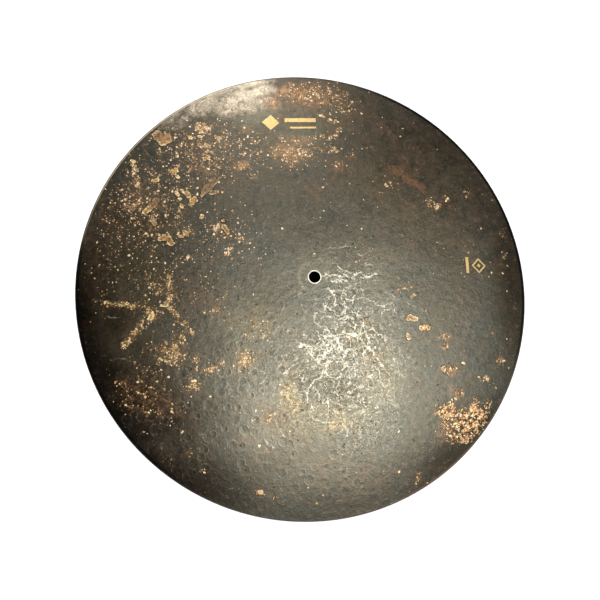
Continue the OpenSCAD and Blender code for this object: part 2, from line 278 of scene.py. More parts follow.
def strokes(x, y, rows):
    out = np.zeros_like(x)
    for x0, y0, x1, y1, r, s in rows:
        out = np.maximum(out, s * np.exp(-0.9 * (along(x, y, x0, y0, x1, y1) / r) ** 2.6))
    return out


def flakes(x, y, rows):
    """How many mm inside a flake's outline, the flake's own tone and its half width."""
    inside, tone, size = np.full_like(x, -9.0), np.zeros_like(x), np.full_like(x, 2.0)
    for x0, y0, x1, y1, r, s in rows:
        d = r - along(x, y, x0, y0, x1, y1)
        tone, size = np.where(d > inside, s, tone), np.where(d > inside, r, size)
        inside = np.maximum(inside, d)
    return inside, tone, size


def lines(x, y, rows):
    """The nearest crack line: signed distance, plain distance, half width and strength."""
    signed, plain, width, power = (np.full_like(x, v) for v in (30.0, 30.0, 0.0, 0.0))
    for w, s, *pts in rows:
        for (x0, y0), (x1, y1) in zip(pts, pts[1:]):
            d = along(x, y, x0, y0, x1, y1)
            left = (x1 - x0) * (y - y0) - (y1 - y0) * (x - x0) >= 0
            near = d < plain
            signed = np.where(near, np.where(left, d, -d), signed)
            plain, width, power = np.where(near, d, plain), np.where(near, w, width), np.where(near, s, power)
    return signed, plain, width, power


def hammer(x, y, seed, cell, r_range, d_range):
    """Round hammer dents with a slightly raised lip, one to a jittered cell."""
    rng = np.random.default_rng(seed)
    n = int(560 / cell) + 4
    jx, jy = rng.random((n, n)), rng.random((n, n))
    rad, dep = rng.uniform(*r_range, (n, n)), rng.uniform(*d_range, (n, n))
    ix = np.floor(x / cell + n / 2).astype(int)
    iy = np.floor(y / cell + n / 2).astype(int)
    out = np.zeros_like(x)
    for dx in (-1, 0, 1):
        for dy in (-1, 0, 1):
            i, j = ix + dx, iy + dy
            q = np.hypot(x - (i + jx[i, j] - n / 2) * cell, y - (j + jy[i, j] - n / 2) * cell) / rad[i, j]
            out -= dep[i, j] * np.where(q < 1, (1 - np.minimum(q, 1) ** 2) ** 2, 0)
            out += 0.3 * dep[i, j] * np.exp(-(((q - 1.05) / 0.25) ** 2))
    return out


def wobble(x, y, seed, size):
    """Gentle unevenness left by rolling and hammering."""
    rng = np.random.default_rng(seed)
    out = np.zeros_like(x)
    for _ in range(9):
        a, w, p = rng.uniform(0, math.pi), rng.uniform(45, 120), rng.uniform(0, 2 * math.pi)
        out += np.sin((x * math.cos(a) + y * math.sin(a)) * 2 * math.pi / w + p)
    return out * size / 3


def fade(r):
    """Full in the field of the disc, nothing on the felt seat, the hole and the rim."""
    return np.clip((r - 14) / 10, 0, 1) * np.clip((LAND - 0.5 - r) / 7, 0, 1)


# ---------------------------------------------------------------- mesh: one closed skin, walked along the section
def steps(a, b, size):
    return list(np.linspace(a, b, max(2, round(abs(b - a) / size) + 1)))


def around(r, fine):
    return max(96, (768 if r > 122 else 384 if r > 52 else 192 if r > 24 else 96) // fine)


path = [(HOLE_R, UNDER + BREAK, 96, "hole"), (HOLE_R, CROWN - BREAK, 96, "hole"), (HOLE_R + BREAK, CROWN, 96, "top")]
for r in steps(HOLE_R + BREAK, SEAT_R, 1.3)[1:] + steps(SEAT_R, 130, 1.5)[1:] + steps(130, LAND, 2.1)[1:]:
    path.append((r, float(bow(r) + thick(r)), around(r, 1), "top"))
for k in range(5):
    a = math.pi / 2 - math.pi / 2 * k / 4
    path.append((RIM_R - ROUND + ROUND * math.cos(a), RIM_T - ROUND + ROUND * math.sin(a), 768, "edge"))
for k in range(5):
    a = -math.pi / 2 * k / 4
    path.append((RIM_R - ROUND + ROUND * math.cos(a), ROUND + ROUND * math.sin(a), 768, "edge"))
path.append((LAND, 0.0, 768, "under"))
for r in steps(LAND, SEAT_R, 5.0)[1:] + steps(SEAT_R, HOLE_R + BREAK, 3.0)[1:]:
    path.append((r, float(bow(r)), around(r, 2), "under"))

points, starts = [], []
for r, z, n, kind in path:
    a = np.arange(n) * 2 * math.pi / n
    x, y = r * np.cos(a), r * np.sin(a)
    zz = np.full(n, z)
    if kind in ("top", "under"):
        f = fade(np.full(n, r))
        zz = zz + f * wobble(x, y, 5, 0.10)
        dent = 0.75 * hammer(x, y, 11, 9.5, (3.6, 5.6), (0.03, 0.11)) + 0.5 * hammer(x, y, 12, 15.0, (5.5, 8.5), (0.02, 0.09))
        zz = zz + f * (dent if kind == "top" else 0.35 * dent + hammer(x, y, 31, 13.0, (5.0, 7.5), (0.02, 0.08)))
    starts.append(len(points))
    points.extend(zip(x, y, zz))
points = np.array(points)

faces, face_kind = [], []
rings = list(range(len(path)))
for i in rings:
    j = (i + 1) % len(path)
    (na, nb), (sa, sb) = (path[i][2], path[j][2]), (starts[i], starts[j])
    kinds = (path[i][3], path[j][3])
    kind = "top" if kinds == ("top", "top") else "under" if kinds == ("under", "under") else "edge"
    if kind == "edge" and path[i][0] < 20:
        kind = "hole"
    if na == nb:
        for k in range(na):
            faces.append((sa + k, sb + k, sb + (k + 1) % nb, sa + (k + 1) % na))
            face_kind.append(kind)
    elif nb == 2 * na:
        for k in range(na):
            a0, a1 = sa + k, sa + (k + 1) % na
            b0, b1, b2 = sb + 2 * k, sb + 2 * k + 1, sb + (2 * k + 2) % nb
            faces += [(a0, b0, b1), (a0, b1, a1), (a1, b1, b2)]
            face_kind += [kind] * 3
    elif na == 2 * nb:
        for k in range(nb):
            b0, b1 = sb + k, sb + (k + 1) % nb
            a0, a1, a2 = sa + 2 * k, sa + 2 * k + 1, sa + (2 * k + 2) % na
            faces += [(a0, b0, a1), (a1, b0, b1), (a1, b1, a2)]
            face_kind += [kind] * 3
    else:
        raise ValueError(f"rings {i} and {j} do not meet: {na} and {nb}")

me = bpy.data.meshes.new("hammered_disc")
me.from_pydata((points / 1000).tolist(), [], [tuple(int(v) for v in f) for f in faces])
me.update()
tris = np.array([(f[0], f[k], f[k + 1]) for f in faces for k in range(1, len(f) - 1)])
volume = float(np.einsum("ij,ij->i", points[tris[:, 0]], np.cross(points[tris[:, 1]], points[tris[:, 2]])).sum() / 6)
if volume < 0:
    me.flip_normals()
print(f"disc: {len(points)} points, {len(tris)} triangles, {abs(volume):.0f} mm3")
me.polygons.foreach_set("use_smooth", [True] * len(me.polygons))
me.set_sharp_from_angle(angle=math.radians(30))
me.polygons.foreach_set("material_index", [{"top": 0, "under": 1, "edge": 2, "hole": 2}[k] for k in face_kind])

x, y = points[:, 0], points[:, 1]
inside, tone, flake_size = flakes(x, y, FLAKES)
signed, plain, width, power = lines(x, y, LINES)
fields = {
    "gold": np.maximum(patches(x, y, GOLD), strokes(x, y, GOLD_STREAKS)),
    "copper": patches(x, y, COPPER),
    "flake": inside,
    "flake_tone": tone,
    "flake_size": flake_size,
    "rust": patches(x, y, RUST),
    "rust_streak": strokes(x, y, RUST_STREAKS),
    "vein": patches(x, y, VEIN),
    "haze_and_painted_highlight": patches(x, y, HAZE_AND_PAINTED_HIGHLIGHT),
    "dark": patches(x, y, DARK),
    "tan": patches(x, y, TAN),
    "foam": patches(x, y, FOAM),
    "black": patches(x, y, BLACK),
    "hits": patches(x, y, HITS),
    "soft": patches(x, y, SOFT_AND_PAINTED_HIGHLIGHT),
    "amber": patches(x, y, AMBER),
    "pale": patches(x, y, PALE_AND_PAINTED_SHEEN),
    "warmth": patches(x, y, WARM),
    "grit": patches(x, y, GRIT),
    "line_side": signed,
    "line_near": plain,
    "line_width": width,
    "line_power": power,
}
for name, value in fields.items():
    me.attributes.new(name, "FLOAT", "POINT").data.foreach_set("value", value.astype(np.float32))

disc = bpy.data.objects.new("hammered_disc", me)
scene.collection.objects.link(disc)


# ---------------------------------------------------------------- node helpers
def rgb(r, g, b):
    """A colour given as it looks on a screen, 0 to 255."""
    f = lambda c: c / 12.92 if c <= 0.04045 else ((c + 0.055) / 1.055) ** 2.4
    return (f(r / 255), f(g / 255), f(b / 255), 1.0)


class Nodes:
    def __init__(self, name):
        self.mat = bpy.data.materials.new(name)
        self.mat.use_nodes = True
        self.t = self.mat.node_tree
        self.t.nodes.clear()

    def put(self, socket, value):
        if isinstance(value, bpy.types.NodeSocket):
            self.t.links.new(value, socket)
        elif value is not None:
            socket.default_value = value

    def new(self, kind, **settings):
        n = self.t.nodes.new(kind)
        for k, v in settings.items():
            setattr(n, k, v)
        return n

    def math(self, op, a, b=None, c=None):
        n = self.new("ShaderNodeMath", operation=op)
        for s, v in zip(n.inputs, (a, b, c)):
            self.put(s, v)
        return n.outputs[0]

    def add(self, a, b): return self.math("ADD", a, b)
    def sub(self, a, b): return self.math("SUBTRACT", a, b)
    def mul(self, a, b): return self.math("MULTIPLY", a, b)
    def top(self, a, b): return self.math("MAXIMUM", a, b)
    def low(self, a, b): return self.math("MINIMUM", a, b)

    def step(self, v, lo, hi, to_lo=0.0, to_hi=1.0, kind="SMOOTHSTEP"):
        n = self.new("ShaderNodeMapRange", interpolation_type=kind, clamp=True)
        for s, w in zip(n.inputs, (v, lo, hi, to_lo, to_hi)):
            self.put(s, w)
        return n.outputs[0]

    def vec(self, op, a, b=None):
        n = self.new("ShaderNodeVectorMath", operation=op)
        self.put(n.inputs[0], a)
        if b is not None:
            self.put(n.inputs[1], b)
        return n.outputs["Value"] if op in ("LENGTH", "DISTANCE", "DOT_PRODUCT") else n.outputs["Vector"]

    def noise(self, p, size, detail=2.0, rough=0.5, bend=0.0, shift=0.0, colour=False):
        """size is the width of one feature, in mm."""
        n = self.new("ShaderNodeTexNoise", noise_dimensions="3D")
        if shift:
            p = self.vec("ADD", p, (shift, shift * 0.37, 0.0))
        self.put(n.inputs["Vector"], p)
        self.put(n.inputs["Scale"], 1.0 / size)
        self.put(n.inputs["Detail"], detail)
        self.put(n.inputs["Roughness"], rough)
        self.put(n.inputs["Distortion"], bend)
        return n.outputs["Color" if colour else "Fac"]

    def cells(self, p, size, feature="F1", jitter=1.0):
        n = self.new("ShaderNodeTexVoronoi", voronoi_dimensions="2D", feature=feature)
        self.put(n.inputs["Vector"], p)
        self.put(n.inputs["Scale"], 1.0 / size)
        self.put(n.inputs["Randomness"], jitter)
        return n

    def field(self, name):
        return self.new("ShaderNodeAttribute", attribute_name=name).outputs["Fac"]

    def split(self, v):
        n = self.new("ShaderNodeSeparateXYZ")
        self.put(n.inputs[0], v)
        return n.outputs

    def mix(self, f, a, b, how="MIX"):
        n = self.new("ShaderNodeMix", data_type="RGBA", blend_type=how)
        self.put(n.inputs[0], f)
        self.put(n.inputs[6], a)
        self.put(n.inputs[7], b)
        return n.outputs[2]

    def ramp(self, v, *stops):
        n = self.new("ShaderNodeValToRGB")
        e = n.color_ramp.elements
        while len(e) < len(stops):
            e.new(1.0)
        for k, (at, colour) in enumerate(stops):
            e[k].position, e[k].color = at, colour
        self.put(n.inputs[0], v)
        return n.outputs[0]

    def shift(self, p, bend, by):
        return self.vec("ADD", p, self.vec("MULTIPLY", bend, (by, by, 0.0)))

    def scale(self, colour, f):
        """Darkens or lightens a colour by a number."""
        n = self.new("ShaderNodeVectorMath", operation="SCALE")
        self.put(n.inputs[0], colour if isinstance(colour, bpy.types.NodeSocket) else colour[:3])
        self.put(n.inputs["Scale"], f)
        return n.outputs["Vector"]

    def finish(self, colour, rough, metal, height, bump_mm=0.25, strength=1.0, specular=0.5):
        out = self.new("ShaderNodeOutputMaterial")
        b = self.new("ShaderNodeBsdfPrincipled")
        bump = self.new("ShaderNodeBump")
        self.put(bump.inputs["Strength"], strength)
        self.put(bump.inputs["Distance"], bump_mm / 1000)
        self.put(bump.inputs["Height"], height)
        self.put(b.inputs["Base Color"], colour)
        self.put(b.inputs["Roughness"], rough)
        self.put(b.inputs["Metallic"], metal)
        self.put(b.inputs["Normal"], bump.outputs[0])
        b.inputs["Specular IOR Level"].default_value = specular
        self.t.links.new(b.outputs[0], out.inputs[0])
        return self.mat


def plane_mm(g):
    """Place across the disc, in mm, the same on every height."""
    o = g.new("ShaderNodeTexCoord").outputs["Object"]
    return g.vec("MULTIPLY", o, (1000.0, 1000.0, 0.0))


def box_mask(g, u, v, cx, cy, hw, hh, soft=0.25):
    d = g.top(g.sub(g.math("ABSOLUTE", g.sub(u, cx)), hw), g.sub(g.math("ABSOLUTE", g.sub(v, cy)), hh))
    return g.step(d, soft, -soft)


def diamond_mask(g, u, v, cx, cy, half, soft=0.3):
    d = g.sub(g.add(g.math("ABSOLUTE", g.sub(u, cx)), g.math("ABSOLUTE", g.sub(v, cy))), half)
    return g.step(d, soft, -soft)


# ---------------------------------------------------------------- playing side
def playing_side():
    g = Nodes("patina_playing_side")
    p = plane_mm(g)
    r = g.vec("LENGTH", p)
    u, v, _ = g.split(p)
    mid = (0.5, 0.5, 0.5)

    # dark metallic patina: olive grey and brown, cloudy, with a fine grain
    cloud = g.noise(p, 70, 4, 0.6)
    blot = g.noise(p, 17, 5, 0.62, 0.4, 90)
    mott = g.noise(p, 6.5, 5, 0.68, 0.5, 115)
    fine = g.noise(p, 2.6, 4, 0.65, 0, 31)
    grain = g.noise(p, 1.3, 3, 0.65, 0, 57)
    sway = g.vec("SUBTRACT", g.noise(p, 8, 4, 0.65, 0, 18, True), mid)
    jog = g.vec("SUBTRACT", g.noise(p, 2.2, 3, 0.6, 0, 24, True), mid)
    grit = g.field("grit")
    colour = g.mix(g.step(cloud, 0.38, 0.62), rgb(88, 84, 72), rgb(85, 84, 74))
    colour = g.mix(g.mul(g.mul(g.step(blot, 0.45, 0.68), 0.42), g.step(r, 25, 120, 0.30, 1.0)), colour, rgb(82, 71, 57))
    shade = g.add(g.step(blot, 0.30, 0.70, 0.84, 1.16, "LINEAR"), g.mul(g.step(mott, 0.3, 0.7, -1.0, 1.0, "LINEAR"), g.add(g.mul(grit, 0.10), 0.15)))
    shade = g.add(shade, g.step(fine, 0.3, 0.7, -0.20, 0.20, "LINEAR"))
    speckle = g.mul(g.step(grain, 0.3, 0.7, -1.0, 1.0, "LINEAR"), g.add(g.mul(grit, 0.30), 0.15))
    shade = g.mul(shade, g.add(speckle, 1.0))
    # darker towards the rim; lighter in the pale patches, partly felt polish and partly a painted sheen
    shade = g.mul(g.mul(shade, g.step(r, 172, 238, 1.0, 0.72)), g.add(g.field("pale"), 1.0))
    colour = g.scale(colour, shade)
    dark = g.mul(g.field("dark"), g.step(cloud, 0.3, 0.6, 0.85, 1.0))
    colour = g.mix(dark, colour, g.scale(rgb(40, 33, 22), shade))
    colour = g.mix(g.field("warmth"), colour, (1.12, 0.99, 0.82, 1.0), "MULTIPLY")

    # reddish brown stains
    rust = g.mul(g.field("rust"), g.step(g.add(g.mul(mott, 0.6), g.mul(blot, 0.4)), 0.38, 0.62))
    colour = g.mix(g.mul(rust, 0.66), colour, rgb(109, 82, 62))
    streak = g.step(g.add(g.field("rust_streak"), g.mul(g.sub(mott, 0.5), 2.6)), 0.10, 1.05)
    colour = g.mix(g.mul(streak, 0.48), colour, g.scale(rgb(142, 101, 73), g.step(fine, 0.3, 0.7, 0.7, 1.3, "LINEAR")))
    amber = g.mul(g.field("amber"), g.step(g.add(g.mul(mott, 0.6), g.mul(fine, 0.4)), 0.36, 0.62))
    colour = g.mix(g.mul(amber, 0.90), colour, g.scale(rgb(180, 138, 102), g.step(grain, 0.3, 0.7, 0.65, 1.35, "LINEAR")))
    colour = g.mix(g.field("black"), colour, g.scale(rgb(18, 13, 7), shade))
    # pale haze near the upper-left rim, partly pale patina and partly a painted highlight, and warm tints
    soft = g.mul(g.step(g.add(g.field("soft"), g.add(g.mul(g.sub(mott, 0.5), 0.7), g.mul(g.sub(blot, 0.5), 0.9))), 0.12, 0.90), g.step(fine, 0.34, 0.56, 0.78, 1.0))
    soft_tone = g.add(g.mul(mott, 0.62), g.add(g.mul(fine, 0.26), g.mul(grain, 0.12)))
    marks = g.cells(g.shift(p, jog, 2.4), 7.5)
    ringed = g.mul(g.step(g.math("ABSOLUTE", g.sub(marks.outputs["Distance"], 0.30)), 0.11, 0.02), g.math("LESS_THAN", g.split(marks.outputs["Color"])[0], 0.55))
    soft_colour = g.ramp(g.step(soft_tone, 0.36, 0.62, 0.0, 1.0, "LINEAR"), (0.0, rgb(112, 100, 84)), (0.35, rgb(148, 137, 118)), (0.7, rgb(178, 161, 138)), (1.0, rgb(216, 200, 170)))
    soft_colour = g.mix(g.mul(ringed, 0.60), soft_colour, rgb(104, 90, 72))
    colour = g.mix(g.mul(soft, 0.77), colour, soft_colour)
    near = g.shift(p, jog, 1.5)
    rings = 0.0
    for cx, cy, size, power in RINGS:
        rings = g.top(rings, g.mul(g.step(g.math("ABSOLUTE", g.sub(g.vec("DISTANCE", near, (float(cx), float(cy), 0.0)), size)), 0.95, 0.25), power))
    haze_and_painted_highlight = g.mul(g.step(g.add(g.field("haze_and_painted_highlight"), g.mul(g.sub(mott, 0.5), 1.1)), 0.10, 0.95), g.step(fine, 0.32, 0.60, 0.45, 1.0))
    colour = g.mix(g.mul(haze_and_painted_highlight, 0.42), colour, rgb(214, 202, 178))
    colour = g.mix(g.mul(rings, g.step(fine, 0.36, 0.56, 0.25, 0.72)), colour, rgb(92, 76, 56))
    tan = g.mul(g.field("tan"), g.step(g.noise(p, 3.0, 5, 0.72, 0.5, 71), 0.44, 0.62))
    colour = g.mix(g.mul(tan, 0.60), colour, rgb(180, 154, 100))

    # pits and bright grit of the broken skin; the bright grit, strongest in the sheen, is partly painted glints
    pit = g.cells(g.shift(p, jog, 2.6), 4.6)
    pick, size, _ = g.split(pit.outputs["Color"])
    pits = g.mul(g.math("LESS_THAN", pick, g.add(g.mul(grit, 0.34), 0.035)), g.step(g.sub(pit.outputs["Distance"], g.step(size, 0.0, 1.0, 0.06, 0.24)), 0.07, -0.05))
    colour = g.mix(g.mul(pits, 0.62), colour, rgb(46, 42, 34))
    crumbly = g.noise(p, 2.0, 4, 0.72, 0.4, 505)
    calm = g.step(g.field("vein"), 0.2, 0.9, 1.0, 0.40)
    sparks_and_painted_glints = g.mul(g.mul(g.step(g.add(crumbly, g.mul(grit, 0.06)), 0.590, 0.655), g.low(g.mul(grit, 1.6), 1.0)), calm)
    colour = g.mix(g.mul(sparks_and_painted_glints, g.step(blot, 0.36, 0.62, 0.20, 0.62)), colour, rgb(166, 159, 136))

    thread = g.math("ABSOLUTE", g.sub(g.noise(p, 6.5, 3, 0.6, 0.6, 601), 0.5))
    threads = g.mul(g.step(thread, 0.050, 0.014), g.step(g.noise(p, 5.0, 3, 0.6, 0, 633), 0.46, 0.60))
    threads = g.mul(threads, g.low(g.add(g.mul(grit, 0.9), g.mul(g.field("vein"), 0.7)), 1.0))
    colour = g.mix(g.mul(threads, g.mul(calm, g.step(fine, 0.40, 0.60, 0.20, 0.70))), colour, rgb(180, 173, 150))

    # round marks where the hammer's edge bit, with their relief; a painted shade darkens each dent's dish and a painted
    # highlight lightens its lip
    hit = g.cells(g.shift(g.vec("ADD", p, (4.0, 9.0, 0.0)), jog, 1.2), 12.5, "F1", 0.95)
    big, some, _ = g.split(hit.outputs["Color"])
    far = g.math("DIVIDE", g.mul(hit.outputs["Distance"], 12.5), g.step(big, 0.0, 1.0, 2.8, 5.6, "LINEAR"))
    bitten = g.mul(g.math("LESS_THAN", some, 0.75), g.step(g.field("hits"), 0.0, 0.8, 0.10, 1.0))
    bitten = g.mul(bitten, g.step(g.noise(p, 30, 3, 0.6, 0, 5), 0.36, 0.56, 0.35, 1.0))
    lip = g.mul(g.step(g.math("ABSOLUTE", g.sub(far, 1.0)), 0.24, 0.0), bitten)
    dish_and_painted_shade = g.mul(g.step(far, 1.0, 0.15), bitten)
    colour = g.mix(g.mul(dish_and_painted_shade, 0.16), colour, g.scale(rgb(52, 49, 40), shade))
    colour = g.mix(g.mul(lip, g.step(fine, 0.4, 0.6, 0.05, 0.23)), colour, rgb(150, 144, 122))

    # pale crackle where the patina has broken open: the long cracks, then the net between them
    wander = g.add(g.mul(g.sub(g.noise(p, 5.0, 3, 0.6, 0, 350), 0.5), 6.5), g.mul(g.sub(g.noise(p, 2.0, 3, 0.6, 0, 365), 0.5), 3.2))
    off = g.math("ABSOLUTE", g.add(g.field("line_side"), wander))
    wide = g.mul(g.field("line_width"), g.step(g.noise(p, 3.4, 3, 0.6, 0, 377), 0.34, 0.66, 0.45, 1.75))
    cracks = g.step(g.sub(off, wide), 0.42, -0.22)
    cracks = g.mul(cracks, g.step(g.sub(g.field("line_near"), g.field("line_width")), 3.2, 2.0))
    cracks = g.mul(cracks, g.mul(g.field("line_power"), g.step(g.noise(p, 7, 3, 0.6, 0, 391), 0.34, 0.52, 0.45, 1.0)))
    vein, foam = g.field("vein"), g.field("foam")
    broken = g.noise(p, 9, 4, 0.65, 0, 63)
    d1 = g.mul(g.cells(g.shift(p, sway, 16.0), 10.5, "DISTANCE_TO_EDGE").outputs["Distance"], 10.5)
    d2 = g.mul(g.cells(g.shift(g.shift(p, sway, 9.0), jog, 2.0), 5.4, "DISTANCE_TO_EDGE").outputs["Distance"], 5.4)
    w1 = g.sub(g.add(g.add(g.mul(vein, 0.95), g.mul(grit, 0.22)), g.mul(g.sub(broken, 0.5), 2.6)), 0.36)
    w1 = g.low(g.add(w1, g.mul(g.sub(fine, 0.5), 1.4)), 0.50)
    net = g.mul(g.step(g.sub(d1, w1), 0.32, -0.12), g.step(w1, -0.05, 0.30))
    w3 = g.sub(g.add(g.mul(vein, 0.62), g.mul(g.sub(g.noise(p, 7, 4, 0.65, 0, 88), 0.5), 2.6)), 0.34)
    w3 = g.low(g.add(w3, g.mul(g.sub(fine, 0.5), 1.2)), 0.30)
    small_net = g.mul(g.step(g.sub(d2, w3), 0.30, -0.10), g.step(w3, -0.05, 0.25))
    # painted shade: a darker band inside each crackle cell, along its edge
    hollow_painted_shade = g.mul(g.mul(g.step(d1, 0.45, 1.0), g.step(d1, 3.0, 1.5)), g.mul(g.step(vein, 0.1, 0.7), g.step(broken, 0.36, 0.60, 0.35, 1.0)))
    colour = g.mix(g.mul(hollow_painted_shade, 0.34), colour, g.scale(rgb(60, 57, 47), shade))
    w2 = g.add(g.mul(foam, 1.55), g.add(g.mul(g.sub(g.noise(p, 6, 4, 0.65, 0, 77), 0.5), 2.8), g.mul(vein, 0.50)))
    w2 = g.low(g.add(g.sub(w2, 0.86), g.mul(g.sub(fine, 0.5), 1.8)), 0.95)
    lace = g.mul(g.step(g.sub(d2, w2), 0.36, -0.16), g.step(w2, -0.05, 0.35))
    veins = g.mul(g.top(g.top(g.mul(net, 0.78), g.mul(small_net, 0.42)), g.mul(lace, g.step(w2, 0.0, 0.9, 0.35, 0.80))), g.step(grain, 0.36, 0.56, 0.50, 1.0))
    veins = g.top(veins, g.mul(cracks, g.step(grain, 0.34, 0.54, 0.70, 1.0)))
    glow = g.mul(g.mul(vein, 0.05), g.step(fine, 0.42, 0.62))
    colour = g.mix(g.top(veins, glow), colour, g.mix(g.step(mott, 0.4, 0.62), rgb(166, 160, 138), rgb(206, 201, 183)))

    # bare metal: brown halos, clustered chunks with bright hearts, squiggles, points
    gold = g.field("gold")
    here = g.step(gold, 0.03, 0.20)
    clump = g.mul(g.step(g.add(g.noise(p, 8.5, 4, 0.62, 0.5, 262), g.mul(gold, 0.34)), 0.58, 0.84), here)
    seed = g.noise(p, 2.5, 3, 0.6, 0.6, 140)
    heart = g.math("DIVIDE", g.sub(seed, g.sub(0.668, g.add(g.mul(clump, 0.115), g.mul(gold, 0.025)))), 0.10)
    chunks = g.mul(g.step(heart, 0.0, 0.22), here)
    spot = g.cells(g.shift(p, jog, 4.6), 3.7)
    pick, size, tone = g.split(spot.outputs["Color"])
    many = g.add(g.add(g.mul(gold, 0.235), g.mul(clump, 0.26)), g.step(grit, 0.0, 0.3, 0.011, 0.003))
    spots = g.mul(g.math("LESS_THAN", pick, many), g.step(g.sub(spot.outputs["Distance"], g.step(size, 0.0, 1.0, 0.07, 0.30)), 0.10, -0.05))
    ridge = g.math("ABSOLUTE", g.sub(g.noise(p, 4.2, 2, 0.5, 0.4, 301), 0.5))
    worms = g.mul(g.step(ridge, 0.062, 0.026), g.step(g.noise(p, 3.2, 2, 0.5, 0, 330), 0.51, 0.58))
    worms = g.mul(worms, g.step(g.add(gold, g.mul(clump, 0.6)), 0.26, 0.80))
    ridge2 = g.math("ABSOLUTE", g.sub(g.noise(p, 3.4, 3, 0.6, 0.9, 322), 0.5))
    rich = g.add(g.add(gold, g.mul(clump, 0.5)), g.mul(g.sub(mott, 0.5), 1.6))
    lacework = g.mul(g.step(ridge2, 0.040, 0.016), g.step(rich, 0.58, 1.02))
    worms = g.top(worms, lacework)
    ridge3 = g.math("ABSOLUTE", g.sub(g.noise(p, 2.7, 3, 0.6, 0.9, 344), 0.5))
    brown = g.mul(g.step(ridge3, 0.050, 0.018), g.mul(g.mul(g.step(gold, 0.08, 0.28), g.step(g.field("rust"), 0.16, 0.50)), g.step(g.add(g.mul(mott, 0.5), g.mul(seed, 0.5)), 0.42, 0.56)))
    speck = g.cells(g.shift(p, jog, 2.0), 2.4)
    pick2, size2, tone2 = g.split(speck.outputs["Color"])
    dust = g.mul(g.math("LESS_THAN", pick2, g.add(g.add(g.mul(gold, 0.35), g.mul(clump, 0.12)), 0.003)), g.step(g.sub(speck.outputs["Distance"], g.step(size2, 0.0, 1.0, 0.11, 0.25)), 0.10, -0.06))
    colour = g.mix(g.mul(clump, g.step(g.add(g.mul(mott, 0.5), g.mul(fine, 0.5)), 0.36, 0.60, 0.12, 0.66)), colour, rgb(104, 79, 53))
    colour = g.mix(g.mul(brown, 0.62), colour, g.scale(rgb(146, 108, 70), g.step(grain, 0.36, 0.62, 0.7, 1.3, "LINEAR")))
    warm = g.noise(p, 5, 4, 0.65, 0, 201)
    light = g.top(g.mul(heart, chunks), g.top(g.top(g.mul(spots, g.step(tone, 0.0, 1.0, 0.22, 0.86)), g.mul(dust, g.step(tone2, 0.0, 1.0, 0.22, 1.02))), g.mul(worms, g.step(warm, 0.35, 0.65, 0.25, 0.85))))
    light = g.add(light, g.step(warm, 0.3, 0.7, -0.14, 0.14, "LINEAR"))
    gold_colour = g.ramp(light, (0.0, rgb(116, 84, 52)), (0.26, rgb(182, 134, 84)), (0.54, rgb(226, 186, 130)), (0.96, rgb(253, 240, 214)))
    gold_colour = g.mix(g.step(v, 25, -25, 0.0, 1.0), gold_colour, g.mix(1.0, gold_colour, (0.86, 0.84, 0.68, 1.0), "MULTIPLY"))
    flecks = g.top(chunks, g.top(g.top(spots, dust), worms))
    colour = g.mix(g.mul(flecks, 0.92), colour, gold_colour)

    # single flakes: a bright broken edge round a duller heart
    ragged = g.add(g.mul(g.sub(g.noise(p, 4.5, 5, 0.7, 0.8, 160), 0.5), 6.5), g.add(g.mul(g.sub(fine, 0.5), 3.6), g.mul(g.sub(seed, 0.5), 3.0)))
    flake_size, flake_tone = g.field("flake_size"), g.field("flake_tone")
    depth = g.add(g.field("flake"), g.mul(ragged, g.step(flake_size, 1.0, 5.0, 0.38, 1.25, "LINEAR")))
    flake = g.mul(g.step(depth, 0.0, g.step(flake_tone, 0.3, 0.8, 1.3, 0.4)), g.step(g.field("flake"), g.mul(flake_size, -0.8), g.mul(flake_size, -0.4)))
    rim = g.mul(g.step(depth, 1.9, 0.4), g.step(g.add(g.mul(warm, 0.5), g.mul(fine, 0.5)), 0.42, 0.54, 0.10, 1.0))
    flake_colour = g.mix(rim, g.mix(flake_tone, rgb(126, 98, 68), rgb(184, 134, 78)), g.mix(flake_tone, rgb(186, 140, 88), rgb(255, 230, 172)))
    flake_colour = g.scale(flake_colour, g.step(g.add(g.mul(seed, 0.5), g.mul(grain, 0.5)), 0.42, 0.58, 0.55, 1.35, "LINEAR"))
    body = g.mul(g.add(g.mul(flake_tone, 0.50), 0.42), g.step(g.add(g.mul(seed, 0.5), g.mul(mott, 0.5)), 0.42, 0.54, 0.20, 1.0))
    solid = g.mul(flake, g.top(g.mul(rim, 0.94), body))
    # painted shadow: a dark band just outside each flake
    colour = g.mix(g.mul(g.mul(g.step(depth, -1.5, -0.3), g.step(g.field("flake"), -4.0, -1.0)), 0.42), colour, rgb(40, 33, 24))
    colour = g.mix(solid, colour, flake_colour)

